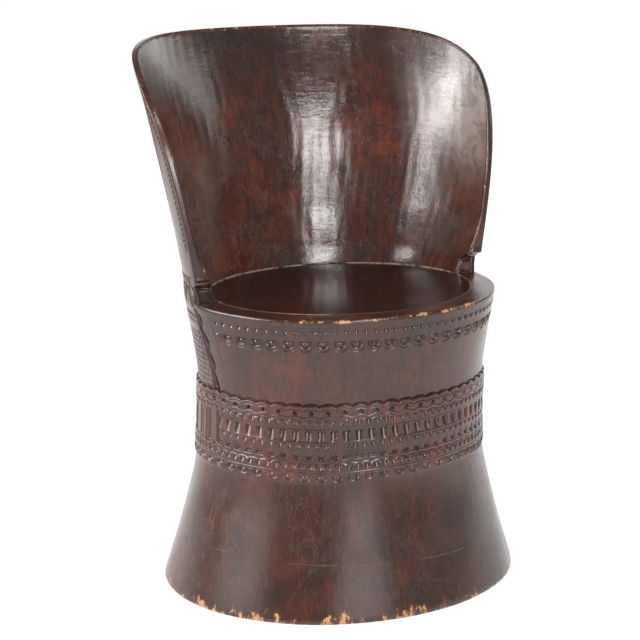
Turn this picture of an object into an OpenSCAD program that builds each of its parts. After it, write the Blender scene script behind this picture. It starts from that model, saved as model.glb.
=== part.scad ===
// Tree trunk chair: one hollowed log carved into a flared base and a wrapping back,
// with an oval seat board let in flush behind the front rim.
// Millimetres. Z is up, the sitter faces -Y, and the origin is on the floor
// in the middle of the log's foot.

/* [Log] */
// Width of the log at its foot
foot_w = 530; // [500:1:560]
// Width halfway up the flared skirt
skirt_w = 473; // [455:1:490]
// Width of the body under the lower edge of the belt
waist_low_w = 429; // [415:1:445]
// Width of the body under the upper edge of the belt
waist_high_w = 424; // [415:1:440]
// Width halfway between the belt and the rim
neck_w = 439; // [430:1:450]
// Width of the log at the seat rim
rim_w = 459; // [450:1:475]
// Width across the back just above the rim
back_low_w = 462; // [455:1:470]
// Width across the back at half its height
back_w = 512; // [490:1:530]
// Width across the back at its top
top_w = 578; // [550:1:600]
// Depth of the log's oval as a share of its width
log_ratio = 0.877; // [0.8:0.001:0.95]
// The same share at the top of the back
top_ratio = 0.835; // [0.78:0.001:0.92]
// How far the top of the back lies behind the foot
back_lean = 43; // [0:1:60]

/* [Heights] */
// Height of the flared skirt, from the floor to the belt
skirt_h = 188; // [160:1:220]
// Height of the carved belt
belt_h = 112; // [80:1:140]
// Height of the plain neck, from the belt to the seat rim
neck_h = 120; // [105:1:150]
// Height of the back above the seat
back_h = 357; // [300:1:400]
// Height above the seat up to which the back rises nearly straight
back_low_h = 30; // [20:1:45]

/* [Carved relief] */
// How far the belt stands proud of the body
belt_relief = 2; // [1:0.5:4]
// How far the ropes and lines stand proud of the belt
rope_relief = 0.8; // [0.3:0.1:1.2]
// How deep the rows of beads are sunk
bead_sunk = 1.1; // [0.5:0.1:1.6]
// Depth of the tall flutes in the middle of the belt
flute_cut = 3.2; // [2:0.1:4.5]
// Depth of the short flutes under them
short_flute_cut = 2; // [1:0.1:3]
// Depth of the lappets at the belt's lower edge and under the rim
lappet_cut = 1.8; // [1:0.1:3]
// Height of the rounding on the front lip of the rim
lip_h = 6; // [3:0.5:9]
// Depth of the rounding on the front lip of the rim
lip_in = 3.5; // [2:0.5:6]
// Height of the worn rounding at the foot
foot_round = 5; // [3:0.5:8]
// Depth of that rounding
foot_in = 1.5; // [1:0.5:4]

/* [Back] */
// Angle that the back wraps round the log, in degrees
wrap_angle = 183.6; // [176:0.2:190]
// Squareness of the back's top corners
corner_power = 4.3; // [3:0.1:6]
// How far each arm is cut back just above the rim, in degrees
wrist_cut = 2.4; // [0:0.1:3]
// Height of the middle of that cut above the rim
wrist_z = 9; // [6:0.5:12]
// Wall of the arms at their front edges
arm_wall = 10.5; // [8:0.5:16]
// Wall in the middle of the back
back_wall = 16; // [12:0.5:22]
// Height above the seat in which the wall thins from the rim's to its own
cove_h = 90; // [60:1:120]

/* [Hollow] */
// Width of the hollow just under the seat ledge
hollow_top_w = 338; // [325:1:345]
// Width of the hollow at the belt
hollow_waist_w = 342; // [325:1:350]
// Width of the hollow at the floor
hollow_foot_w = 438; // [410:1:450]

/* [Seat board] */
// Width of the oval seat board
seat_w = 388; // [375:1:400]
// Thickness of the seat board
seat_t = 28; // [22:1:35]
// Gap all round between the seat board and the log
seat_gap = 0.6; // [0.4:0.1:1.5]
// Width of the ledge that carries the seat board, from the board's edge inwards
ledge_w = 26; // [22:1:32]
// Height of the ledge, deep enough for the pegs
ledge_h = 40; // [36:1:60]
// Height of the slope from the ledge back to the hollow's wall
ledge_slope = 14; // [8:1:24]

/* [Battens] */
// Width of each batten
batten_w = 46; // [36:1:60]
// Thickness of each batten
batten_t = 22; // [16:1:28]
// Distance between the middles of the two battens
batten_pitch = 170; // [120:1:200]
// Least gap between a batten's corner and the log
batten_gap = 8; // [4:1:14]

/* [Pegs and nails] */
// Number of wooden pegs round the seat board
peg_count = 6; // [4:1:10]
// Diameter of a peg
peg_d = 9; // [6:0.5:12]
// Length of a peg
peg_l = 58; // [50:1:70]
// Radial gap round a peg
peg_gap = 0.05; // [0.02:0.01:0.1]
// Nails in each batten
nail_count = 3; // [2:1:5]
// Diameter of a nail's shank
nail_d = 3.4; // [2.5:0.1:5]
// Diameter of a nail's head
nail_head_d = 9; // [7:0.5:12]
// Thickness of a nail's head
nail_head_t = 1.6; // [1:0.1:2.5]
// Length of a nail under its head
nail_l = 40; // [34:1:44]
// Radial gap round a nail's shank
nail_gap = 0.03; // [0.02:0.01:0.1]
// Distance of the end nails from the ends of their batten
nail_edge = 26; // [18:1:40]

/* [Hidden] */
$fn = 96;

belt_z = skirt_h;
belt_top_z = belt_z + belt_h;
seat_z = belt_top_z + neck_h;
top_z = seat_z + back_h;
ledge_z = seat_z - seat_t;
ledge_low_z = ledge_z - ledge_h;
hollow_top_z = ledge_low_z - ledge_slope;
batten_z = ledge_z - batten_t;
seat_d = seat_w * log_ratio;
ledge_r = seat_w / 2 - ledge_w;

// Distance of a peg's middle from the seat board's edge, half way across the ledge
peg_in = ledge_w / 2;
// Empty end under a peg, where its drilled hole runs on
peg_end_gap = 0.5;
// Height over which the wrist cut fades out, up and down
wrist_fade = 11;
// How steeply the lean and the thinning of the wall come in
lean_power = 2.2;
cove_power = 1.6;

// Steps of the carved surface: columns round the back and the front, and rows of each zone
back_cols = 44;
front_cols = 36;
skirt_rows = 5;
back_rows = 15;
hollow_rows = 4;
all_cols = back_cols + front_cols;
half_wrap = wrap_angle / 2;

// Height and width of the body, station by station
BODY = [
    [0, foot_w], [skirt_h / 2, skirt_w], [belt_z, waist_low_w], [belt_top_z, waist_high_w],
    [belt_top_z + neck_h / 2, neck_w], [seat_z, rim_w], [seat_z + back_low_h, back_low_w],
    [seat_z + back_h / 2, back_w], [top_z, top_w]
];
// Height and width of the hollow under the seat, station by station
HOLLOW = [
    [0, hollow_foot_w], [belt_z, hollow_waist_w], [belt_top_z, hollow_waist_w], [hollow_top_z, hollow_top_w]
];

// Smooth curve through stations of height and width
function slope(p, i) =
    let (a = max(i - 1, 0), b = min(i + 1, len(p) - 1))
    (p[b][1] - p[a][1]) / (p[b][0] - p[a][0]);
function span_of(p, z, i = 0) = i >= len(p) - 2 || z <= p[i + 1][0] ? i : span_of(p, z, i + 1);
function smooth(p, z) =
    let (i = span_of(p, z), h = p[i + 1][0] - p[i][0], u = (z - p[i][0]) / h)
    (1 + 2 * u) * pow(1 - u, 2) * p[i][1] + u * pow(1 - u, 2) * h * slope(p, i)
    + u * u * (3 - 2 * u) * p[i + 1][1] - u * u * (1 - u) * h * slope(p, i + 1);

// The log's oval at a height: its ratio and the place of its middle
function rise(z) = max(0, (z - seat_z) / back_h);
function ratio(z) = log_ratio + (top_ratio - log_ratio) * min(1, rise(z));
function middle_y(z) = back_lean * pow(rise(z), lean_power);

// A point of the log at an angle from +X, a height and a half width there
function log_point(t, z, r) = [r * cos(t), middle_y(z) + r * ratio(z) * sin(t), z];

// Wall of the back at an angle and a height
function cove(z) = pow(max(0, 1 - (z - seat_z) / cove_h), cove_power);
function thin_wall(t) = arm_wall + (back_wall - arm_wall) * pow(sin(t), 2);
function wall(t, z) = thin_wall(t) + ((rim_w - seat_w) / 2 - seat_gap - thin_wall(t)) * cove(z);

// The outline of the back, unrolled: a rounded rectangle whose half width and height are 1
corner = pow(0.5, 1 / corner_power);
function rounded(a) = pow(1 - pow(min(1, abs(a)), corner_power), 1 / corner_power);
function wrist(v) = wrist_cut / half_wrap * exp(-pow((v * back_h - wrist_z) / wrist_fade, 2));
function across(s, v) = s * (rounded(v * corner) - wrist(v * corner));
function up(s, v) = v * rounded(s * corner);
function back_point(s, v, inner) =
    let (t = 90 - half_wrap * across(s, v), z = seat_z + back_h * up(s, v), w = smooth(BODY, z) / 2)
    log_point(t, z, inner ? w - wall(t, z) : w);

// Angle of each column, from the right arm round the back to the left arm and round the front
foot_wrap = half_wrap * (1 - wrist(0));
function col_s(j) = 1 - 2 * j / back_cols;
function col_angle(j) = j <= back_cols
    ? 90 - foot_wrap * col_s(j)
    : 90 + foot_wrap + (360 - 2 * foot_wrap) * (j - back_cols) / front_cols;
function in_front(j) = j > back_cols;

// Rows of the carved belt: share of its height, how far the surface stands out there,
// and how deep the hollows between this row and the next one are
ROPE = belt_relief + rope_relief;
BEADS = belt_relief - bead_sunk;
BELT = [
    [0.013, belt_relief, lappet_cut], [0.12, belt_relief, 0], [0.16, ROPE, 0],
    [0.19, BEADS, 0], [0.245, BEADS, 0], [0.285, ROPE, 0],
    [0.325, belt_relief, short_flute_cut], [0.455, belt_relief, 0],
    [0.468, BEADS, 0], [0.515, BEADS, 0],
    [0.535, belt_relief, flute_cut], [0.68, belt_relief, 0], [0.745, belt_relief, 0],
    [0.76, BEADS, 0], [0.81, BEADS, 0], [0.85, ROPE, 0], [0.885, belt_relief, 0], [0.985, belt_relief, 0]
];
// The same for the neck, which is carved under the rim in front
NECK = [
    [0, 0, 0], [0.3, 0, 0], [0.625, 0, lappet_cut], [0.73, 0, 0],
    [0.812, 0, 0], [0.825, -bead_sunk, 0], [0.875, -bead_sunk, 0], [0.888, 0, 0]
];
// Columns at each end of the front that the neck's carving leaves plain
band_end = 2;

// Rows of the outside below the seat: height, how far the surface stands out there, and hollows' depth
OUTER = concat(
    [[0, -foot_in, 0], [foot_round, 0, 0]],
    [for (k = [1:skirt_rows]) [skirt_h * k / skirt_rows, 0, 0]],
    [for (row = BELT) [belt_z + belt_h * row[0], row[1], row[2]]],
    [for (row = NECK) [belt_top_z + neck_h * row[0], row[1], row[2]]],
    [[seat_z - lip_h, 0, 0], [seat_z, 0, 0]]
);
function carved(i, j) = OUTER[i][0] < belt_top_z || (j > back_cols + band_end && j < all_cols - band_end);
function relief(i, j) = i == 0 || carved(i, j) ? OUTER[i][1] : 0;
function lip(i, j) = i == len(OUTER) - 1 && in_front(j) ? lip_in : 0;
function outer_point(i, j) =
    let (z = OUTER[i][0])
    log_point(col_angle(j), z, smooth(BODY, z) / 2 + relief(i, j) - lip(i, j));

// Hollows: one in each column of a carved row, with a floor that its walls slope down to
HOLLOWED = [for (i = [0:len(OUTER) - 1]) if (OUTER[i][2] > 0) i];
hollow_side = 0.24;
hollow_end = 0.1;
FLOOR = [
    [hollow_side, hollow_end], [hollow_side, 1 - hollow_end],
    [1 - hollow_side, 1 - hollow_end], [1 - hollow_side, hollow_end]
];
function mixed(a, b, u) = a + (b - a) * u;
function floor_point(i, j, k) =
    let (
        t = mixed(col_angle(j), col_angle(j + 1), FLOOR[k][0]),
        z = mixed(OUTER[i][0], OUTER[i + 1][0], FLOOR[k][1]),
        out = mixed(OUTER[i][1], OUTER[i + 1][1], FLOOR[k][1])
    )
    log_point(t, z, smooth(BODY, z) / 2 + out - (carved(i, j) ? OUTER[i][2] : 0));

// Rows of the inside below the seat: the wall round the seat board, its ledge and the hollow
seat_hole_r = seat_w / 2 + seat_gap;
function hollow_r(z) = smooth(HOLLOW, z) / 2;
INNER = concat(
    [[seat_z, seat_hole_r], [ledge_z, seat_hole_r], [ledge_z, ledge_r], [ledge_low_z, ledge_r]],
    [for (k = [hollow_rows:-1:0]) let (z = hollow_top_z * k / hollow_rows) [z, hollow_r(z)]]
);
function inner_point(i, j) = log_point(col_angle(j), INNER[i][0], INNER[i][1]);

// Where each grid of points starts in the list, and the place of a point of it
back_side = back_cols + 1;
outer_count = len(OUTER) * all_cols;
back_count = back_rows * back_side;
function at_outer(i, j) = i * all_cols + j % all_cols;
function at_inner(i, j) = outer_count + i * all_cols + j % all_cols;
function at_back(i, j) = i == 0
    ? at_outer(len(OUTER) - 1, j)
    : outer_count + len(INNER) * all_cols + (i - 1) * back_side + j;
function at_front(i, j) = i == 0
    ? at_inner(0, j)
    : outer_count + len(INNER) * all_cols + back_count + (i - 1) * back_side + j;
first_floor = outer_count + len(INNER) * all_cols + 2 * back_count;
function at_floor(n, j, k) = first_floor + (n * all_cols + j) * len(FLOOR) + k;
function quad(a, b, c, d) = [[a, b, c], [a, c, d]];
function hollow(o, f) = concat(
    [for (k = [0:3]) each quad(o[k], o[(k + 1) % 4], f[(k + 1) % 4], f[k])],
    quad(f[0], f[1], f[2], f[3])
);
function outer_faces(i, j) =
    let (
        corners = [at_outer(i, j), at_outer(i + 1, j), at_outer(i + 1, j + 1), at_outer(i, j + 1)],
        found = search(i, HOLLOWED)
    )
    len(found) > 0
        ? hollow(corners, [for (k = [0:3]) at_floor(found[0], j, k)])
        : quad(corners[0], corners[1], corners[2], corners[3]);

// The edge of the back, as steps round its outline: up one arm, over the top, down the other
EDGE = concat(
    [for (i = [0:back_rows]) [i, 0]],
    [for (j = [1:back_cols]) [back_rows, j]],
    [for (i = [back_rows - 1:-1:0]) [i, back_cols]]
);

module log_body() {
    points = concat(
        [for (i = [0:len(OUTER) - 1], j = [0:all_cols - 1]) outer_point(i, j)],
        [for (i = [0:len(INNER) - 1], j = [0:all_cols - 1]) inner_point(i, j)],
        [for (i = [1:back_rows], j = [0:back_cols]) back_point(col_s(j), i / back_rows, false)],
        [for (i = [1:back_rows], j = [0:back_cols]) back_point(col_s(j), i / back_rows, true)],
        [for (i = HOLLOWED, j = [0:all_cols - 1], k = [0:3]) floor_point(i, j, k)]
    );
    outside = [for (i = [0:len(OUTER) - 2], j = [0:all_cols - 1]) each outer_faces(i, j)];
    inside = [
        for (i = [0:len(INNER) - 2], j = [0:all_cols - 1])
            each quad(at_inner(i, j), at_inner(i + 1, j), at_inner(i + 1, j + 1), at_inner(i, j + 1))
    ];
    foot = [
        for (j = [0:all_cols - 1])
            each quad(
                at_outer(0, j), at_outer(0, j + 1),
                at_inner(len(INNER) - 1, j + 1), at_inner(len(INNER) - 1, j)
            )
    ];
    rim = [
        for (j = [back_cols:all_cols - 1])
            each quad(
                at_outer(len(OUTER) - 1, j), at_inner(0, j),
                at_inner(0, j + 1), at_outer(len(OUTER) - 1, j + 1)
            )
    ];
    behind = [
        for (i = [0:back_rows - 1], j = [0:back_cols - 1])
            each quad(at_back(i, j), at_back(i + 1, j), at_back(i + 1, j + 1), at_back(i, j + 1))
    ];
    before = [
        for (i = [0:back_rows - 1], j = [0:back_cols - 1])
            each quad(at_front(i, j), at_front(i, j + 1), at_front(i + 1, j + 1), at_front(i + 1, j))
    ];
    edge = [
        for (k = [0:len(EDGE) - 2])
            let (a = EDGE[k], b = EDGE[k + 1])
            each quad(at_back(a[0], a[1]), at_front(a[0], a[1]), at_front(b[0], b[1]), at_back(b[0], b[1]))
    ];
    polyhedron(points, concat(outside, inside, foot, rim, behind, before, edge));
}

// A point of the seat board's edge at an angle from +X
function seat_point(t) = [seat_w / 2 * cos(t), seat_d / 2 * sin(t)];

// Puts its children at each peg, on the oval line half way across the ledge
module at_pegs() {
    for (k = [0:peg_count - 1]) {
        t = (k + 0.5) * 360 / peg_count;
        translate([(seat_w / 2 - peg_in) * cos(t), (seat_d / 2 - peg_in) * sin(t), seat_z])
            children();
    }
}

// Length of a batten: its outer corners stay inside the ledge's oval
batten_out_x = batten_pitch / 2 + batten_w / 2;
batten_room = ledge_r - batten_gap;
batten_l = 2 * log_ratio * sqrt(pow(batten_room, 2) - pow(batten_out_x, 2));

// Puts its children at the underside of each nail's place in one batten
module at_nails(side) {
    for (k = [0:nail_count - 1]) {
        y = -batten_l / 2 + nail_edge + k * (batten_l - 2 * nail_edge) / (nail_count - 1);
        translate([side * batten_pitch / 2, y, batten_z])
            children();
    }
}

module trunk() {
    color("#3a241d")
    difference() {
        log_body();
        at_pegs()
            translate([0, 0, -peg_l - peg_end_gap])
                cylinder(d = peg_d + 2 * peg_gap, h = peg_l - seat_t / 2 + peg_end_gap);
    }
}

module seat_board() {
    color("#4a2019")
    difference() {
        translate([0, 0, ledge_z])
            linear_extrude(seat_t)
                polygon([for (j = [0:all_cols - 1]) seat_point(col_angle(j))]);
        at_pegs()
            translate([0, 0, -seat_t - 1])
                cylinder(d = peg_d + 2 * peg_gap, h = seat_t + 2);
        for (side = [-1, 1])
            at_nails(side)
                cylinder(d = nail_d + 2 * nail_gap, h = nail_l + 1);
    }
}

module batten(side) {
    color("#b98d5b")
    difference() {
        translate([side * batten_pitch / 2 - batten_w / 2, -batten_l / 2, batten_z])
            cube([batten_w, batten_l, batten_t]);
        at_nails(side)
            translate([0, 0, -1])
                cylinder(d = nail_d + 2 * nail_gap, h = batten_t + 2);
    }
}

module seat_pegs() {
    color("#6b4128")
    at_pegs()
        translate([0, 0, -peg_l])
            cylinder(d = peg_d, h = peg_l);
}

module batten_nails() {
    color("#4d4a48")
    for (side = [-1, 1])
        at_nails(side)
            union() {
                translate([0, 0, -nail_head_t])
                    cylinder(d = nail_head_d, h = nail_head_t);
                cylinder(d = nail_d, h = nail_l);
            }
}

trunk();
seat_board();
batten(-1);  // batten_left
batten(1);  // batten_right
seat_pegs();
batten_nails();
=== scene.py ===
import math

import bmesh
import bpy
import numpy as np
from mathutils import Matrix, Vector


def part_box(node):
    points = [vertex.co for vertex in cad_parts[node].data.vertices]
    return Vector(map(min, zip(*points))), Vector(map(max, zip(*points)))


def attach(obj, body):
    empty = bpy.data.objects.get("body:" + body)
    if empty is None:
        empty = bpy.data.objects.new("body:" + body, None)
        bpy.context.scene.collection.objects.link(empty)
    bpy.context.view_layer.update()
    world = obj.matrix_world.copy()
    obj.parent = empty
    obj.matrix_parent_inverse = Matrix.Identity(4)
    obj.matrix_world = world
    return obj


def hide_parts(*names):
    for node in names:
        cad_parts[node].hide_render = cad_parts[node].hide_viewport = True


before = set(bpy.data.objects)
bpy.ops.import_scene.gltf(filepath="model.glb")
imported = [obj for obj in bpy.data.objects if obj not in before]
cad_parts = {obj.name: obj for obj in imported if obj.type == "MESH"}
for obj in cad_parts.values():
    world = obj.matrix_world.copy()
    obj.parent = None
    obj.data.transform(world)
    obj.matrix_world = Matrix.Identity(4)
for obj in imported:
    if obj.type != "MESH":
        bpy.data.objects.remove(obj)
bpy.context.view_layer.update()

MM = 0.001

# The log's own sizes in millimetres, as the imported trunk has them
FOOT_W, SKIRT_W, WAIST_LOW_W, WAIST_HIGH_W, NECK_W, RIM_W = 530, 473, 429, 424, 439, 459
BACK_LOW_W, BACK_W, TOP_W = 462, 512, 578
LOG_RATIO, TOP_RATIO, BACK_LEAN, LEAN_POWER = 0.877, 0.835, 43, 2.2
BELT_Z, BELT_TOP_Z, SEAT_Z, TOP_Z = 188, 300, 420, 777
BACK_H = TOP_Z - SEAT_Z
HALF_WRAP, CORNER_POWER = 183.6 / 2, 4.3
ARM_WALL, BACK_WALL, COVE_H, COVE_POWER = 10.5, 16, 90, 1.6
SEAT_W, SEAT_T, SEAT_GAP = 388, 28, 0.6
LEDGE_W, LEDGE_H, LEDGE_SLOPE = 26, 40, 14
LEDGE_Z = SEAT_Z - SEAT_T
LEDGE_LOW_Z = LEDGE_Z - LEDGE_H
HOLLOW_TOP_Z = LEDGE_LOW_Z - LEDGE_SLOPE
BODY = [(0, FOOT_W), (94, SKIRT_W), (BELT_Z, WAIST_LOW_W), (BELT_TOP_Z, WAIST_HIGH_W), (360, NECK_W),
        (SEAT_Z, RIM_W), (450, BACK_LOW_W), (SEAT_Z + BACK_H / 2, BACK_W), (TOP_Z, TOP_W)]
HOLLOW = [(0, 438), (BELT_Z, 342), (BELT_TOP_Z, 342), (HOLLOW_TOP_Z, 338)]

# The mean of the oval's half width and half depth, as a share of its half width
MEAN_SHARE = 0.94

# How far round from the front the camera stands, and the side of the square photograph in pixels
VIEW_AZIMUTH = math.radians(28.5)
PHOTO_SIDE = 640


# Curves and bands


def between(low, high, x):
    """0 below low, 1 above high, and a smooth rise from one to the other."""
    t = np.clip((x - low) / (high - low), 0, 1)
    return t * t * (3 - 2 * t)


def within(low, high, soft, x):
    """1 from low to high, with soft edges outside."""
    return between(low - soft, low, x) * (1 - between(high, high + soft, x))


def hill(x, middle, width):
    """A round ridge: 1 on its middle, and gone about two widths away."""
    return np.exp(-((x - middle) / width) ** 2)


def dome(x, y):
    """A round bead: 1 on its middle and 0 from one radius on."""
    return np.clip(1 - x ** 2 - y ** 2, 0, 1)


def from_middle(along, pitch, shift=0.0):
    """How far each place is from the middle of its own repeat."""
    return (along / pitch + shift + 0.5) % 1 * pitch - pitch / 2


def through(stations, z):
    """Smooth curve through stations of height and size."""
    heights = np.array([s[0] for s in stations], float)
    sizes = np.array([s[1] for s in stations], float)
    last = len(stations) - 1
    before, after = np.maximum(np.arange(last + 1) - 1, 0), np.minimum(np.arange(last + 1) + 1, last)
    slopes = (sizes[after] - sizes[before]) / (heights[after] - heights[before])
    i = np.clip(np.searchsorted(heights, z) - 1, 0, last - 1)
    step = heights[i + 1] - heights[i]
    u = (z - heights[i]) / step
    start = (1 + 2 * u) * (1 - u) ** 2 * sizes[i] + u * (1 - u) ** 2 * step * slopes[i]
    return start + u * u * (3 - 2 * u) * sizes[i + 1] - u * u * (1 - u) * step * slopes[i + 1]


# The log's surface


def rise(z):
    """Share of the back's height, from the seat up."""
    return np.maximum(0, (z - SEAT_Z) / BACK_H)


def at_log(angle, z, radius):
    """Points of the log in millimetres, from angles in degrees, heights and half widths."""
    turn = np.radians(angle)
    ratio = LOG_RATIO + (TOP_RATIO - LOG_RATIO) * np.minimum(1, rise(z))
    middle_y = BACK_LEAN * rise(z) ** LEAN_POWER
    return np.stack([radius * np.cos(turn), middle_y + radius * ratio * np.sin(turn), z + 0 * radius], -1)


def by_hand(angle, z):
    """How far a hand-hewn log wanders from its true oval, with its foot a little to one side."""
    turn = np.radians(angle)
    wander = 0.45 * np.sin(3 * turn + 1.3 + z / 190) + 0.35 * np.sin(5 * turn - z / 83)
    wander += 0.28 * np.sin(9 * turn + z / 47 + 2) + 0.2 * np.sin(14 * turn - z / 31 + 0.7)
    return wander + 1.5 * within(200, 290, 12, z) - 3 * np.cos(turn) * (1 - between(190, 330, z))


def outer_r(angle, z):
    """Half width of the log outside, as hewn."""
    return through(BODY, z) / 2 + by_hand(angle, z)


def outside(angle, z, relief=0.0):
    """Points on the log, or over it by a relief."""
    return at_log(angle, z, outer_r(angle, z) + relief)


def from_front(angle):
    """Degrees from the middle of the front, the same on both sides."""
    return np.abs((angle - 270 + 180) % 360 - 180)


ANGLE_STEP = 0.25
ANGLES = np.linspace(0, 360, 1441)
GIRTH_R = (WAIST_LOW_W + WAIST_HIGH_W) / 4
STEPS = np.hypot(GIRTH_R * np.sin(np.radians(ANGLES)), GIRTH_R * LOG_RATIO * np.cos(np.radians(ANGLES)))
GIRTH = np.concatenate([[0], np.cumsum((STEPS[1:] + STEPS[:-1]) / 2 * math.radians(ANGLE_STEP))])


def along_belt(angle):
    """Length round the waist in millimetres, from the middle of the front."""
    return np.interp(angle % 360, ANGLES, GIRTH) - np.interp(270, ANGLES, GIRTH)


def turn_table():
    """Lengths round the waist and their angles, over two turns."""
    return np.concatenate([GIRTH, GIRTH[1:] + GIRTH[-1]]), np.concatenate([ANGLES, ANGLES[1:] + 360])


# Heights of the belt's two edges where they are level
BELT_EDGES = (190.5, 299)


def belt_low(angle):
    """The belt's lower edge, cut by eye and not quite level."""
    a = angle % 360
    return BELT_EDGES[0] - 5 * hill(a, 237, 17) - 4 * hill(a, 318, 10)


def belt_high(angle):
    """The belt's upper edge, which wanders a little too."""
    a = angle % 360
    return BELT_EDGES[1] - 2 * hill(a, 233, 16) + 2.5 * hill(a, 190, 9)


# The carved pattern

# The belt's height, how far it stands over the log, and the pitch of what repeats along it
BELT_TALL, BELT_PROUD = 113, 2.0
LAPPET_PITCH, FLUTE_PITCH, BEAD_PITCH = 22.0, 17.3, 12.5
SCALLOP_PITCH = LAPPET_PITCH + 0.4
# Rows of the belt from the top down, in millimetres above its lower edge
SCALLOP_Y, ROOF_Y, ROPE_Y, UPPER_BEADS_Y = 107.3, 100.4, 95.6, 88.0
FLUTE_HEAD_Y, FLUTE_FOOT_Y, MIDDLE_BEADS_Y = 75.7, 62.5, 55.0
SCOOP_HEAD_Y, SCOOP_FOOT_Y, WAVE_Y, LOWER_BEADS_Y, LAPPET_Y = 48.6, 36.4, 31.8, 24.6, 13.2
# Half the width of a flute and the sweep of the gouge that cut it
FLUTE_HALF, FLUTE_SWEEP = 4.8, 6.3
# Half the length and height of a bead, its rise, and the sweep and half width of the stab beside it
BEAD_HALF, BEAD_HALF_TALL, BEAD_RISE = 3.4, 3.0, 0.7
STAB_SWEEP, STAB_HALF = 3.4, 3.0
# The plain divider on each side: degrees from the front, height over the belt's lower edge, and scale
SIDE_CUTS, DIVIDER_Y = (80.0, 102.5), (38, 84)
BELT_MM_PER_DEGREE, NECK_MM_PER_DEGREE = 3.35, 3.45


def belt_share(angle, z):
    """Height over the belt's lower edge, as if the belt were as tall all round."""
    return BELT_TALL * (z - belt_low(angle)) / (belt_high(angle) - belt_low(angle))


def bead_row(along, y, middle, tall, pitch, shift=0.0, tilt=0.36):
    """A row of low beads, with one small push of a gouge between each two, deep at its top."""
    from_bead = from_middle(along, pitch, shift)
    from_foot = y - middle + tall / 2
    bead = dome(from_bead / BEAD_HALF, (from_foot - tall / 2) / BEAD_HALF_TALL)
    to_stab = np.minimum(np.abs(np.abs(from_bead) - pitch / 2), STAB_HALF)
    gouged = 0.7 + tilt * from_foot - (STAB_SWEEP - np.sqrt(STAB_SWEEP ** 2 - to_stab ** 2))
    inside_stab = (1 - between(2.3, 2.9, to_stab)) * (1 - between(tall, tall + 0.7, from_foot))
    return BEAD_RISE * bead - np.clip(gouged, 0, 3) * inside_stab


def hanging_lobe(from_lobe, down, start, size, bead, recess, heights):
    """A hollowed lobe with a bead in it: how far out in it each place is, what hangs, and its relief."""
    reach = np.hypot(from_lobe / size[0], np.clip(down, 0, None) / size[1])
    hanging = between(*start, down)
    hollowed = heights[0] + heights[1] * dome(from_lobe / bead[0], (down - bead[1]) / bead[2])
    return reach, hanging, hanging * (1 - between(*recess, reach)) * hollowed


def scallop_edge(along):
    """Height of the round lobes that end the belt above."""
    from_lobe = from_middle(along, SCALLOP_PITCH)
    return SCALLOP_Y + 5.4 * np.sqrt(np.clip(1 - (from_lobe / 12.4) ** 2, 0, 1))


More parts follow.
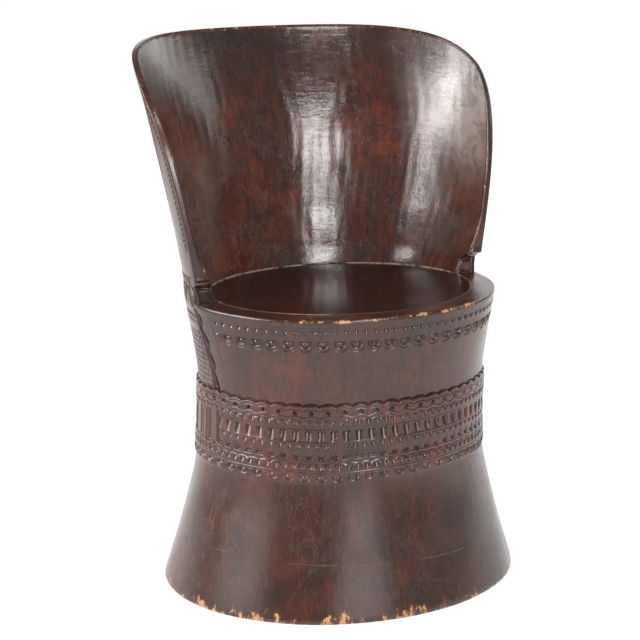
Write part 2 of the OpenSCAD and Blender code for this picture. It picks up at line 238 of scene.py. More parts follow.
def belt_pattern(along, y, side):
    """Relief of the carved belt over the plain log."""
    cut = np.full_like(y, BELT_PROUD)
    # upper scallops, each over a roof-shaped stab
    edge = scallop_edge(along)
    cut += 0.4 * hill(y, edge - 1.6, 1.1) - 0.5 * hill(y, edge - 4.4, 1.2)
    from_lobe = from_middle(along, SCALLOP_PITCH)
    up = y - ROOF_Y
    roof = 4.8 * (1 - up / 5.6) - np.abs(from_lobe)
    cut -= 4.4 * between(-0.4, 1.4, roof) * within(0, 5.2, 0.5, up)
    # rope line
    rope = ROPE_Y + 1.3 * np.cos(2 * np.pi * along / SCALLOP_PITCH)
    cut += 0.45 * hill(y, rope, 1.3) - 0.8 * hill(y, rope - 2.9, 1.1) - 0.4 * hill(y, rope + 2.7, 1.0)
    cut += bead_row(along, y, UPPER_BEADS_Y, 5.4, BEAD_PITCH)
    # upper flutes: one push of a gouge each, deep at the square top and running out in a round foot
    from_flute = from_middle(along, FLUTE_PITCH)
    across = np.abs(from_flute) / FLUTE_HALF
    sweep = FLUTE_SWEEP - np.sqrt(FLUTE_SWEEP ** 2 - np.minimum(np.abs(from_flute), 5.4) ** 2)
    gouged = 0.9 + 4.7 * (y - FLUTE_FOOT_Y) / 14 - sweep
    under_head = 1 - between(FLUTE_HEAD_Y, FLUTE_HEAD_Y + 0.8, y)
    cut -= np.clip(gouged, 0, 6) * (1 - between(0.96, 1.08, across)) * under_head
    cut += 0.5 * hill(y, 78.0, 1.0) - 0.3 * within(61.5, 75.5, 1.2, y) + 0.3 * hill(y, 59.8, 0.8)
    cut += bead_row(along, y, MIDDLE_BEADS_Y, 4.8, BEAD_PITCH + 0.4, 0.3)
    # lower flutes: run out at the top, deep at the foot
    arch = 3.6 * np.clip(across, 0, 1) ** 2
    scoop = between(SCOOP_FOOT_Y, SCOOP_FOOT_Y + 1, y) * (1 - between(0.92, 1.06, across))
    scoop = scoop * (1 - between(SCOOP_HEAD_Y, SCOOP_HEAD_Y + 1.4, y + arch))
    cut -= scoop * (1.0 + 2.4 * (1 - between(37, 44, y)))
    # waved ridge under them
    wave = WAVE_Y + 2.7 * np.abs(np.sin(np.pi * along / FLUTE_PITCH)) ** 0.7
    cut += 0.5 * hill(y, wave, 1.25) - 1.0 * hill(y, wave - 2.9, 1.2)
    cut += bead_row(along, y, LOWER_BEADS_Y, 5.0, BEAD_PITCH, 0.15)
    # double line
    cut += 0.25 * hill(y, 19.2, 0.9) + 0.25 * hill(y, 16.4, 0.9)
    cut -= 0.9 * hill(y, 17.8, 0.7) + 1.1 * hill(y, 14.2, 0.8)
    # lappets that hang from the line, each with a bead in it
    from_lappet = from_middle(along, LAPPET_PITCH, 0.5)
    reach, hanging, lappet = hanging_lobe(from_lappet, LAPPET_Y - y, (-0.2, 0.8), (10.4, 11.6),
                                          (4.4, 4.5, 3.9), (0.68, 0.80), (-2.2, 2.6))
    cut += lappet - 1.8 * hanging * between(0.99, 1.09, reach)
    # the plain divider on each side, in place of the flutes
    divider = within(*SIDE_CUTS, 0.25, side) * within(*DIVIDER_Y, 0.6, y)
    mm_side = (side - SIDE_CUTS[0]) * BELT_MM_PER_DEGREE
    dots = hill(mm_side, 15.5, 1.5) * np.clip(np.cos(2 * np.pi * y / 6.2) + 0.2, 0, 1)
    ridges = 0.8 * hill(mm_side, 27, 2.0) + 0.8 * hill(mm_side, 36, 2.2) + 0.8 * hill(mm_side, 46, 2.5)
    furrows = 1.2 * hill(mm_side, 31.5, 1.6) + 2.2 * hill(mm_side, 22, 1.6) + 2.4 * hill(mm_side, 53, 2.0)
    panel = BELT_PROUD - 0.2 + ridges - furrows - 1.5 * dots
    grooves = hill(mm_side, 0.5, 2.0) + hill(mm_side, 75, 2.0)
    cut = cut * (1 - divider) + panel * divider
    cut -= 3.8 * np.clip(grooves, 0, 1) * within(*DIVIDER_Y, 0.8, y)
    # past the scallops the belt sinks into the log
    return cut - 7.0 * between(0.0, 1.3, y - edge)


# The slanted border beside each arm, and the fine line in front of it: heights up the log and degrees
# from the front there
BORDER = [(290, 82.5), (313, 84.0), (329, 84.7), (348, 85.6), (366, 86.8), (388, 88.8), (413, 91.2),
          (425, 92.6), (440, 94.4), (470, 97.6)]
FINE_LINE = [(330, 75.0), (346, 75.8), (363, 76.9), (391, 78.3), (402, 79.4), (424, 81.5)]


def line_at(stations, z):
    """Where a line runs at a height, in degrees from the front."""
    return np.interp(z, *zip(*stations))


# Heights on the neck: its teeth and lobes in front, and the rear panel's stabs and leaves
TEETH_Z, LOBES_Z, NECK_TOP = 401.6, 388.2, 410.5
STABS_Z, LEAVES_Z, PANEL_TOP = (306, 402), 428, 458.0
STAB_ROW = 7.6
# Where the carved neck's top edge climbs beside the arm, in degrees from the front
CLIMB = (89.4, 91.4)


def neck_high(side):
    """Top edge of the carved neck: under the lip in front, at the panel's head behind."""
    return NECK_TOP + (PANEL_TOP - NECK_TOP) * np.clip((side - CLIMB[0]) / (CLIMB[1] - CLIMB[0]), 0, 1)


def rim_band(along, z):
    """Teeth under the lip, and hanging lobes with a bead in each under them."""
    teeth = bead_row(along, z, TEETH_Z, 4.8, BEAD_PITCH + 0.5, 0.2, 0.54)
    from_lobe = from_middle(along, LAPPET_PITCH + 0.2, 0.3)
    reach, hanging, lobe = hanging_lobe(from_lobe, LOBES_Z - z, (-0.4, 0.7), (10.3, 12.4),
                                        (4.5, 4.6, 4.1), (0.70, 0.82), (-2.5, 2.7))
    rims = hanging * (0.6 * hill(reach, 0.91, 0.07) - 1.5 * hill(reach, 1.09, 0.07))
    return teeth + lobe + rims + 0.4 * hill(z, 390.2, 1.1)


def slanted_border(from_border, z):
    """One straight cut, and in front of it a cut that swings out and back in a row of pointed leaves."""
    up = ((z - 337) / 30.5) % 1
    swing = np.where(up < 0.66, 1 - up / 0.66, (up - 0.66) / 0.34)
    leaf_cut = hill(from_border, -5.4 - 4.8 * swing, 1.7 + 1.1 * swing) * (1 - between(436, 444, z))
    leaf = within(-5.0 - 3.0 * swing, -2.6, 0.9, from_border)
    return 0.9 * leaf - 4.9 * hill(from_border, 0.4 * np.sin(z / 9), 2.5) - 4.2 * leaf_cut


def rear_panel(behind, z):
    """A leaf row at its head, a plain band, and rows of small stabs below."""
    from_leaf = from_middle(behind, 26.0)
    up = (z - LEAVES_Z) / 26.0
    leaf = within(-0.5, 0.5, 0.06, up)
    leaf_edge = 11.0 * np.sqrt(np.clip(0.55 - up, 0, 1))
    blade = between(-0.8, 0.8, leaf_edge - np.abs(from_leaf))
    leaves = leaf * (-2.0 + 2.4 * blade - 1.1 * hill(from_leaf, 0, 0.9))
    lines = 0.6 * hill(z, 446, 1.5) - 1.5 * hill(z, 443, 0.9) - 1.3 * hill(z, 449.5, 0.9)
    row = np.floor((z - STABS_Z[0]) / STAB_ROW)
    from_stab = from_middle(behind, 7.2, 0.5 * (row % 2))
    up_in_row = (z - STABS_Z[0]) / STAB_ROW - row
    stab = np.clip(1 - np.hypot(from_stab / 2.2, (up_in_row - 0.5) * 2.5), 0, 1)
    scales = 0.2 - 2.2 * between(0, 0.6, stab)
    band = within(380, 388, 0.7, z)
    scales = within(*STABS_Z, 1.0, z) * (scales * (1 - band) + 0.5 * band)
    scales -= 1.4 * hill(z, 404.5, 1.0) + 1.4 * hill(z, 304.2, 1.0)
    return scales + leaves + lines + bead_row(behind, z, 453.5, 5.0, 9.0)


def neck_pattern(angle, z):
    """Relief of the neck: rim band in front, slanted borders, and the panel behind."""
    along, side = along_belt(angle), from_front(angle)
    past_fine = (line_at(FINE_LINE, z) - side) * NECK_MM_PER_DEGREE
    from_border = (side - line_at(BORDER, z)) * NECK_MM_PER_DEGREE
    cut = between(0.6, 2.4, past_fine) * rim_band(along, z)
    cut -= 0.9 * hill(past_fine, 0, 0.9) * between(333, 345, z)
    cut += slanted_border(from_border, z)
    cut += between(6.0, 8.5, from_border) * rear_panel((side - 90) * NECK_MM_PER_DEGREE, z)
    return cut - 2.2 * hill(belt_share(angle, z), scallop_edge(along) + 1.0, 1.3)


# How deep the log is cut away under the separate carvings
SUNK = 5.5


def sunk_for_carving(angle, z):
    """The log's cut at each place under the carvings, soft at its two edges."""
    side = from_front(angle)
    low = between(192.0, 195.5, z - (belt_low(angle) - BELT_EDGES[0]))
    high = 1 - between(-5.5, -2.0, z - neck_high(side - 0.5))
    return SUNK * low * high


# Where hands and shoes have rubbed the lacquer: degrees round, height, their spreads, and how much
RUBBED = [(236.5, 216, 4.5, 13, 0.32), (243, 375, 9, 3, 0.36), (219, 376, 5, 3, 0.22),
          (254, 208, 7, 7, 0.22), (252, 291, 8, 6, 0.26),
          (231.3, 416, 1.6, 4, 0.38), (246, 416, 2.6, 4, 0.44), (254.5, 417, 3.4, 4, 0.42),
          (238, 417, 9, 3, 0.22), (267, 418, 7, 3, 0.30), (282, 418, 8, 3, 0.28), (297, 418, 6, 3, 0.28)]


def rubbed(angle, z):
    """Wear at those places."""
    a = angle % 360
    return sum(much * hill(a, turn, wide) * hill(z, high, tall) for turn, high, wide, tall, much in RUBBED)


# Mesh helpers

# Points closer than this become one
WELD = 0.02 * MM


def lay(bm, columns, rows, place, material=0):
    """Lays a grid of columns by rows. place gives points in millimetres, wear, and how much shade is
    painted in its cuts.
    """
    layers = bm.verts.layers.float
    for name in ("worn", "cut"):
        if layers.get(name) is None:
            layers.new(name)
    worn_layer, cut_shade_layer = layers["worn"], layers["cut"]
    grid = bmesh.ops.create_grid(bm, x_segments=len(columns) - 1, y_segments=len(rows) - 1, size=0.5)
    made = grid["verts"]
    u, v = np.meshgrid(np.asarray(columns, float), np.asarray(rows, float))
    points, worn, cut = place(u.ravel(), v.ravel())
    worn = np.broadcast_to(worn, u.size)
    cut = np.broadcast_to(cut, u.size)
    for vert, point, w, c in zip(made, points * MM, worn, cut):
        vert.co = point
        vert[worn_layer] = w
        vert[cut_shade_layer] = c
    if material:
        for face in {f for vert in made for f in vert.link_faces}:
            face.material_index = material


def put_in_scene(name, data):
    """A new object at the origin, linked to the scene."""
    thing = bpy.data.objects.new(name, data)
    bpy.context.scene.collection.objects.link(thing)
    return thing


def as_object(bm, name, materials, smooth=True):
    """Makes the mesh an object in the scene."""
    mesh = bpy.data.meshes.new(name)
    bm.to_mesh(mesh)
    bm.free()
    for face in mesh.polygons:
        face.use_smooth = smooth
    for material in materials:
        mesh.materials.append(material)
    return put_in_scene(name, mesh)


def piece(bm, name, materials, smooth=True):
    """Closes the mesh, turns its faces outwards and makes it one piece of the chair."""
    bmesh.ops.remove_doubles(bm, verts=bm.verts, dist=WELD)
    open_edges = [e for e in bm.edges if e.is_boundary]
    if open_edges:
        bmesh.ops.holes_fill(bm, edges=open_edges, sides=0)
    bmesh.ops.recalc_face_normals(bm, faces=bm.faces)
    thing = as_object(bm, name, materials, smooth)
    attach(thing, "root")
    return thing


def laid_piece(name, columns, rows, place, material):
    """A piece made of one laid grid."""
    bm = bmesh.new()
    lay(bm, columns, rows, place)
    return piece(bm, name, [material])


def strip_rows(count):
    """Rows of a strip let into the log: 0 to 1 across its face, and -1, 2 and 3 hidden under it."""
    return np.concatenate([[-1], np.linspace(0, 1, count), [2, 3]])


def under_strip(v):
    """Which rows of a strip are hidden, and which of those lie at its low side."""
    return (v < 0) | (v > 1), (v < 0) | (v > 2)


# Camera


def set_camera():
    """The camera of the photograph, from the fit to the ovals of the log."""
    distance, height, focal_pixels = 2.5852, 0.9746, 1834.1
    pitch, aim, roll = (math.radians(degrees) for degrees in (13.125, -0.672, -0.302))
    level = Vector((math.sin(aim), math.cos(aim), 0))
    right = Vector((math.cos(aim), -math.sin(aim), 0))
    forward = level * math.cos(pitch) - Vector((0, 0, math.sin(pitch)))
    up = level * math.sin(pitch) + Vector((0, 0, math.cos(pitch)))
    image_right = right * math.cos(roll) + up * math.sin(roll)
    image_up = up * math.cos(roll) - right * math.sin(roll)
    turn = Matrix.Rotation(-VIEW_AZIMUTH, 3, "Z")
    basis = Matrix((turn @ image_right, turn @ image_up, turn @ -forward)).transposed().to_4x4()
    data = bpy.data.cameras.new("photo_camera")
    data.sensor_width = 36
    data.lens = focal_pixels / PHOTO_SIDE * data.sensor_width
    data.clip_end = 60
    camera = put_in_scene("photo_camera", data)
    camera.matrix_world = Matrix.Translation(turn @ Vector((0, -distance, height))) @ basis
    bpy.context.scene.camera = camera


# Finishes


class Amount:
    """A number that a shader works out, with the usual arithmetic."""

    def __init__(self, finish, socket):
        self.finish, self.socket = finish, socket

    def worked(self, operation, first, second):
        made = self.finish.add("ShaderNodeMath", {"operation": operation}, {0: first, 1: second})
        return Amount(self.finish, made.outputs[0])

    def __add__(self, other):
        return self.worked("ADD", self, other)

    def __sub__(self, other):
        return self.worked("SUBTRACT", self, other)

    def __rsub__(self, other):
        return self.worked("SUBTRACT", other, self)

    def __mul__(self, other):
        return self.worked("MULTIPLY", self, other)

    __radd__ = __add__
    __rmul__ = __mul__

    def without_sign(self):
        return self.worked("ABSOLUTE", self, 0.0)


class Finish:
    """One material, or the world, built from nodes that read the place on the object."""

    def __init__(self, name, kind="materials"):
        self.material = getattr(bpy.data, kind).new(name)
        self.material.use_nodes = True
        self.tree = self.material.node_tree
        self.tree.nodes.clear()
        self.place = self.add("ShaderNodeTexCoord").outputs["Object"]
        self.colour = None

    def add(self, kind, settings=None, inputs=None):
        """A new node, with its settings and what its sockets get."""
        made = self.tree.nodes.new(kind)
        for key, value in (settings or {}).items():
            setattr(made, key, value)
        for key, value in (inputs or {}).items():
            if isinstance(value, Amount):
                value = value.socket
            if isinstance(value, bpy.types.NodeSocket):
                self.tree.links.new(value, made.inputs[key])
            else:
                made.inputs[key].default_value = value
        return made

    def stretched(self, scale, turn=(0, 0, 0)):
        """The place, scaled along each axis and turned."""
        inputs = {"Vector": self.place, "Scale": scale, "Rotation": turn}
        return self.add("ShaderNodeMapping", {}, inputs).outputs[0]

    def parts(self):
        """The place as three numbers."""
        made = self.add("ShaderNodeSeparateXYZ", {}, {0: self.place})
        return [Amount(self, made.outputs[k]) for k in range(3)]

    def noise(self, scale, detail=3.0, rough=0.5, where=None, twist=0.0):
        """Cloudy noise, mostly between 0.3 and 0.7."""
        inputs = {"Vector": where or self.place, "Scale": scale, "Detail": detail, "Roughness": rough,
                  "Distortion": twist}
        return Amount(self, self.add("ShaderNodeTexNoise", {}, inputs).outputs["Fac"])

    def thread(self, level, half_width, amount):
        """1 along the thin lines on which a noise has one level."""
        return 1.0 - self.between(0.0, half_width, (amount - level).without_sign())

    def dots(self, scale, size):
        """Small round dots strewn at random."""
        made = self.add("ShaderNodeTexVoronoi", {}, {"Vector": self.place, "Scale": scale})
        return 1.0 - self.between(size * 0.6, size * 1.2, Amount(self, made.outputs["Distance"]))

    def between(self, low, high, amount):
        """0 below low, 1 above high."""
        settings = {"interpolation_type": "SMOOTHSTEP", "clamp": True}
        inputs = {"Value": amount, "From Min": low, "From Max": high}
        return Amount(self, self.add("ShaderNodeMapRange", settings, inputs).outputs["Result"])

    def patches(self, low, high, scale, detail, rough, twist=0.0):
        """Where a noise lies above a level."""
        return self.between(low, high, self.noise(scale, detail, rough, twist=twist))

    def band(self, start, full, fade, end, amount):
        """0 up to start, 1 from full to fade, and 0 again from end on."""
        return self.between(start, full, amount) * (1.0 - self.between(fade, end, amount))

    def painted(self, name):
        """A number painted on the piece's own points."""
        return Amount(self, self.add("ShaderNodeAttribute", {"attribute_name": name}).outputs["Fac"])

    def mix(self, share, under, over):
        """Two colours mixed, with a share of the upper one."""
        made = self.add("ShaderNodeMix", {"data_type": "RGBA"}, {0: share, 6: under, 7: over})
        return made.outputs[2]

    def over(self, share, colour):
        """Lays a share of one more colour over the finish so far."""
        self.colour = self.mix(share, self.colour, colour)

    def end(self, roughness, height, lift, weight=1.0, **fixed):
        """The finished material. height is its unevenness, and lift how high that stands in metres."""
        bump = self.add("ShaderNodeBump", {}, {"Height": height, "Distance": lift, "Strength": weight})
        inputs = {"Base Color": self.colour, "Roughness": roughness, "Normal": bump.outputs[0]}
        shader = self.add("ShaderNodeBsdfPrincipled", {}, {**inputs, **fixed})
        self.add("ShaderNodeOutputMaterial", {}, {"Surface": shader.outputs[0]})
        return self.material


def tone(red, green, blue):
    """A colour as a maker reads it off a swatch, 0 to 255, as light."""
    def light(c):
        c = c / 255
        return c / 12.92 if c <= 0.04045 else ((c + 0.055) / 1.055) ** 2.4
    return (light(red), light(green), light(blue), 1)


BROWN, RUST, EMBER = tone(42, 23, 15), tone(66, 32, 20), tone(97, 45, 27)
PITCH_DARK, AMBER, BARE_WOOD = tone(18, 11, 9), tone(112, 60, 36), tone(200, 148, 98)
BLUSH, NECK_TAN, SPARK = tone(132, 52, 40), tone(122, 74, 54), tone(116, 60, 34)
SOOT, HIGH_GREY, PAINTED_SHEEN, PAINTED_PALE_SHEEN = tone(31, 23, 20), tone(33, 26, 23), tone(112, 93, 84), tone(168, 154, 148)
NICK, SCRATCH, DUSTY_SCRATCH = tone(150, 124, 102), tone(140, 92, 66), tone(132, 116, 106)


def lacquer(name, dark, warm, ember, grain_scale, streaks=0.28, gloss=0.24, lift=0.00035, inside=0.0):
    """Old brown lacquer over wood: cloudy colour, grain, cracks, bare wood where it is rubbed, and painted
    shade in the cuts.

    Heights and places are in metres. inside is 1.0 for the greyer inner side of the back, which also gets a
    painted sheen beside the arms."""
    f = Finish(name)
    worn, cut = f.painted("worn"), f.painted("cut")
    across, _, height = f.parts()
    # grain and clouds of colour
    grain_place = f.stretched(grain_scale)
    grain = f.noise(1.0, 5, 0.62, grain_place, 0.35)
    fine_grain = f.noise(3.2, 4, 0.6, grain_place, 0.5)
    fibres = f.noise(1.0, 5, 0.7, f.stretched(tuple(k * 1.1 + 30 for k in grain_scale)), 0.8)
    cloud = f.noise(8.5, 6, 0.68, twist=0.8)
    f.colour = f.mix(f.between(0.36, 0.64, cloud * 0.6 + grain * 0.4), dark, warm)
    glow = f.between(0.44, 0.64, f.noise(5.3, 6, 0.72, twist=1.0) * 0.55 + fibres * 0.45)
    f.over(glow * 0.65, ember)
    # redder at the belt, tan at the neck, and darker and greyer higher up
    at_belt = f.band(0.18, 0.20, 0.26, 0.31, height)
    blush = f.patches(0.50, 0.64, 17, 5, 0.7) * at_belt
    f.over(blush * (0.34 - 0.34 * inside), BLUSH)
    at_neck = f.band(0.28, 0.33, 0.38, 0.41, height)
    warmth = f.patches(0.42, 0.60, 9.0, 5, 0.7) * at_neck * f.between(-0.12, 0.08, across)
    f.over(warmth * (0.30 - 0.30 * inside), NECK_TAN)
    spark = f.patches(0.60, 0.70, 300, 3, 0.6) * f.patches(0.48, 0.62, 13, 4, 0.6)
    f.over(spark * 0.5, SPARK)
    f.over(f.between(0.52, 0.66, fine_grain) * streaks, PITCH_DARK)
    soot = f.between(0.47, 0.66, f.noise(3.6, 5, 0.62) + inside * f.between(0.64, 0.76, height) * 0.16)
    f.over(soot * 0.6, SOOT)
    greyer_high_up = f.between(0.655, 0.745, height + (cloud - 0.5) * 0.16)
    f.over(greyer_high_up * inside * 0.55, HIGH_GREY)
    # painted shade in the cuts, then cracks, nicks and scratches
    recess_shade = f.between(0.3, 2.2, cut)
    f.over(recess_shade * 0.85, PITCH_DARK)
    crack = f.thread(0.5, 0.010, fine_grain) * f.patches(0.47, 0.6, 11, 3, 0.6)
    f.over(crack * 0.7, PITCH_DARK)
    nick = f.dots(95, 0.045) * f.patches(0.50, 0.60, 9, 3, 0.6)
    f.over(nick * 0.8, NICK)
    scratch = f.thread(0.5, 0.0035, f.noise(1.0, 1, 0.4, f.stretched((260, 30, 34), (0.5, 0.3, 0.9))))
    scratch = scratch * f.patches(0.56, 0.62, 23, 2, 0.5)
    f.over(scratch * 0.5, SCRATCH)
    round_the_skirt = height + across * 0.039 + (f.noise(14, 3, 0.6) - 0.5) * 0.004
    in_pieces = f.patches(0.45, 0.53, 13, 3, 0.5) * f.patches(0.3, 0.56, 70, 2, 0.6)
    long_scratch = f.thread(0.0736, 0.0008, round_the_skirt) * in_pieces
    f.over(long_scratch * 0.5, DUSTY_SCRATCH)
    # lacquer rubbed thin to amber, and off to bare wood, in small chips at the foot and broad ones above
    chip_place = f.stretched((1, 1, 0.6))
    small_chips, broad_chips = f.noise(165, 4, 0.65, chip_place), f.noise(88, 5, 0.7, chip_place)
    chips = small_chips + (broad_chips - small_chips) * (1.0 - f.between(0.03, 0.06, height))
    rub = worn + (chips - 0.5) * 1.5 + (f.noise(40, 3, 0.6, chip_place) - 0.5) * 0.5
    amber, bare = f.between(0.50, 0.64, rub), f.between(0.62, 0.70, rub)
    f.over(amber * 0.65, AMBER)
    f.over(bare * 0.92, BARE_WOOD)
    # gloss and the skin's unevenness
    peel = f.noise(270, 3, 0.6)
    ripple = f.noise(1.0, 4, 0.6, f.stretched((40, 40, 150)), 1.4)
    rough = gloss + (f.noise(41, 4, 0.6) - 0.5) * 0.14 + bare * 0.35 + recess_shade * 0.05
    rough = rough + inside * 0.09 * f.between(0.13, 0.23, across.without_sign())
    skin = grain * (0.8 - 0.35 * inside) + fine_grain * 0.3 + peel * 0.16
    skin = skin - crack * 0.25 - bare * 0.5 - scratch * 0.1
    fixed = {"IOR": 1.62}
    if inside:
        # painted sheen, a pale reflection, at both sides and paler still at the right, over a hazy coat in
        # the same places
        by_right = f.between(0.180, 0.226, across) * (0.6 + 0.4 * f.between(0.50, 0.60, height))
        by_right = by_right * (1.0 - 0.6 * f.between(0.68, 0.73, height))
        by_left = f.between(0.100, 0.150, -1.0 * across) * (1.0 - 0.7 * f.between(0.57, 0.66, height))
        haze_and_painted_sheen = (by_right + by_left) * (0.5 + 0.5 * f.patches(0.40, 0.60, 26.0, 6, 0.75, 1.0))
        f.over(haze_and_painted_sheen * 0.62, PAINTED_SHEEN)
        paler_painted_sheen = f.between(0.226, 0.246, across) * f.between(0.53, 0.60, height)
        paler_painted_sheen = paler_painted_sheen * (1.0 - f.between(0.68, 0.73, height)) * haze_and_painted_sheen
        f.over(paler_painted_sheen * 0.5, PAINTED_PALE_SHEEN)
        fixed.update({"Coat Weight": haze_and_painted_sheen, "Coat Roughness": 0.42, "Coat IOR": 1.5})
    return f.end(rough, skin + ripple * (0.15 + 0.45 * inside), lift, 1.0, **fixed)


def raw_wood(name, pale, dark, scale):
    """Unfinished wood with its year lines."""
    f = Finish(name)
    where = f.stretched(scale)
    lines = f.noise(1.0, 5, 0.6, where, 0.8)
    f.colour = f.mix(f.between(0.35, 0.65, lines), pale, dark)
    f.over(f.patches(0.5, 0.7, 9, 4, 0.6) * 0.4, tone(92, 66, 44))
    return f.end(0.7 + (lines - 0.5) * 0.1, lines, 0.0006, 0.7)


def iron(name):
    """Forged iron, dark and a little rusty."""
    f = Finish(name)
    rust = f.patches(0.5, 0.7, 420, 4, 0.7)
    f.colour = f.mix(rust * 0.6, tone(72, 68, 66), tone(92, 52, 34))
    return f.end(0.45 + rust * 0.3, f.noise(300, 3, 0.6), 0.0003, 0.6, Metallic=0.9)


# The trunk

# How far the arms stand back below their cuffs, between which heights that ends, and how much further
# forward the right arm stands than the left above
WRIST_IN, WRIST_LOW, WRIST_HIGH, RIGHT_FORWARD = 7.5, 440.0, 449.0, 12.0
# How far the back's walls stop short of its edge, which the rounding takes up
EDGE_IN = 4.5
CORNER = 0.5 ** (1 / CORNER_POWER)
# Section of the arm's edge, from the outside to the inside: share of the wall, share of the rounding
EDGE_SECTION = np.array([(0, 0), (0.012, 0.34), (0.045, 0.53), (0.11, 0.62), (0.2, 0.67), (0.4, 0.78),
                         (0.6, 0.88), (0.76, 0.94), (0.87, 0.88), (0.94, 0.64), (0.985, 0.3), (1, 0)])
# The front rim's rounded lip, the small rounding at the seat board's hole, and that hole's half width
LIP_H, LIP_IN, INNER_ROUND = 6.0, 3.5, 0.9
LIP_Z = SEAT_Z - LIP_H
LIP_TURNS = np.linspace(0, 90, 7)
HOLE_R = SEAT_W / 2 + SEAT_GAP
# Heights over the floor and how far the worn foot stands in there
FOOT_ROUND = [(0, -2.2), (0.7, -1.4), (1.8, -0.8), (3.4, -0.25), (5.4, 0)]
# Distances from the back's edge to both sides of its dotted border, and the dots' pitch and half width
DOTTED = (6.0, 18.0)
DOT_PITCH, DOT_R = 7.7, 2.7


def rounded(a):
    """What a rounded corner leaves of one measure at a share of the other."""
    return (1 - np.minimum(1, np.abs(a)) ** CORNER_POWER) ** (1 / CORNER_POWER)


def wall(angle, z):
    """Thickness of the back's wall, with the cove above the seat."""
    thin = ARM_WALL + (BACK_WALL - ARM_WALL) * np.sin(np.radians(angle)) ** 2
    cove = np.maximum(0, 1 - (np.maximum(z, SEAT_Z) - SEAT_Z) / COVE_H) ** COVE_POWER
    return thin + ((RIM_W - SEAT_W) / 2 - SEAT_GAP - thin) * cove


def back_place(s, v, grow=0.0):
    """Angle and height in the back: s from arm to arm, v from the rim to the top, grow towards the edge."""
    z = SEAT_Z + BACK_H * v * rounded(s * CORNER) * (1 - EDGE_IN / BACK_H * (1 - grow))
    arc = through(BODY, z) / 2 * MEAN_SHARE * math.radians(1)
    back = WRIST_IN * (1 - between(WRIST_LOW, WRIST_HIGH, z))
    back = back - RIGHT_FORWARD * (s > 0) * between(447, 453, z)
    a = s * rounded(v * CORNER) * (1 - EDGE_IN / (arc * HALF_WRAP) * (1 - grow))
    a = a - s * np.abs(s) ** 6 * back / arc / HALF_WRAP
    return 90 - HALF_WRAP * a, z


S_COLUMNS = np.linspace(1, -1, 255)
V_ROWS = np.concatenate([np.linspace(0, 0.115, 26)[:-1], np.linspace(0.115, 1, 74)])
# The arms' feet in degrees, and how much further their rounding reaches
RIGHT_ARM = back_place(np.array([1.0]), np.array([0.0]))[0][0]
LEFT_ARM = 180 - RIGHT_ARM
ARM_TIP = RIGHT_ARM - back_place(np.array([1.0]), np.array([0.0]), 1.0)[0][0]
FRONT_ANGLES = np.linspace(LEFT_ARM, RIGHT_ARM + 360, 127)
RING = np.concatenate([back_place(S_COLUMNS, 0 * S_COLUMNS)[0], FRONT_ANGLES[1:]])


def from_arms(angle):
    """Degrees along the front rim from the nearer arm."""
    return np.minimum(angle - LEFT_ARM, RIGHT_ARM + 360 - angle)


# Heights of the groove between the cuff's two beads, and of the deep cut under them
CUFF_Z, CUFF_CUT_Z = 450, 440.8


def cuff(z):
    """Two beads and a deep cut at the foot of each arm, as growth of the edge."""
    beads = 0.34 * hill(z, 453.5, 1.9) + 0.34 * hill(z, 446.3, 1.9) - 0.3 * hill(z, CUFF_Z, 1.5)
    return beads - 0.85 * hill(z, CUFF_CUT_Z, 2.6)


def strokes(angle, z):
    """Long shallow knife strokes and broad dents on the inside of the back."""
    turn = np.radians(angle)
    fine = 0.08 * np.sin(88 * turn + 2.2 * np.sin(z / 43) + 2 * np.sin(7.3 * turn))
    fine += 0.09 * np.sin(61 * turn + 2.6 * np.sin(z / 31 + 9 * turn))
    broad = 0.55 * np.sin(4.6 * turn + z / 120) + 0.3 * np.sin(11 * turn - z / 70 + 1)
    dents = 0.28 * np.sin(z / 17 + 3 * np.sin(5 * turn + z / 90)) * (0.6 + 0.4 * np.sin(8 * turn))
    from_scoop = (angle - 24 + 180) % 360 - 180
    scooped = 3.6 * hill(from_scoop, 0, 24) * between(470, 540, z)
    flared = 2.6 * hill(from_scoop, 6, 30) * np.clip((z - 700) / 77, 0, 1) ** 2
    return (fine + broad + dents) * between(424, 475, z) + scooped + flared


def inner_r(angle, z):
    """Half width inside the back."""
    plain = through(BODY, z) / 2 - wall(angle, z)
    return plain + by_hand(angle, z) * between(424, 460, z) + strokes(angle, z)


def near_edge(s, v, z):
    """1 beside the back's edge, where hands wear it."""
    return np.maximum(between(0.975, 1.0, np.abs(s)), between(0.98, 1.0, v)) * between(455, 470, z)


def under_dots(s, v):
    """1 where the dotted border lies over the log."""
    arc = BACK_W / 2 * MEAN_SHARE * math.radians(1) * HALF_WRAP
    inset = np.minimum((1 - np.abs(s)) * arc, (1 - v) * BACK_H) + EDGE_IN
    return within(DOTTED[0] + 3.5, DOTTED[1] - 3.5, 2.0, inset) * between(0.24, 0.27, v)


def foot_chips(angle):
    """How far the foot's lower edge is chipped in."""
    return 0.5 * np.sin(angle * 1.9) * np.sin(angle * 0.71 + 2)


def foot_wear(angle, z):
    """Wear at the foot, strongest at the floor and in clusters above it."""
    clustered = 0.5 + 0.5 * np.sin(angle / 5.3 + 2.2 * np.sin(angle / 13))
    zones = ((0.11, 0, 5), (0.16, 6, 26), (0.28, 12, 50), (0.14 * clustered, 8, 34))
    return sum(much * (1 - between(low, high, z)) for much, low, high in zones)


def outer_wall(bm):
    """From the foot's rounding up to the lip, cut away where the carved surfaces lie."""
    stretches = ((10, 183, 5.5), (184, 198, 2.0), (204, 390, 9), (396, LIP_Z, 1.8))
    rows = np.concatenate([[z for z, _ in FOOT_ROUND]] + [np.arange(*stretch) for stretch in stretches])

    def place(angle, z):
        sunk = sunk_for_carving(angle, z)
        foot_in = np.interp(z, *zip(*FOOT_ROUND)) - foot_chips(angle) * (1 - between(0, 6, z))
        # the last number paints shade where the log is cut away under the carvings
        return outside(angle, z, foot_in - sunk), foot_wear(angle, z) + rubbed(angle, z), 0.5 * sunk

    lay(bm, RING, np.append(rows, LIP_Z), place)


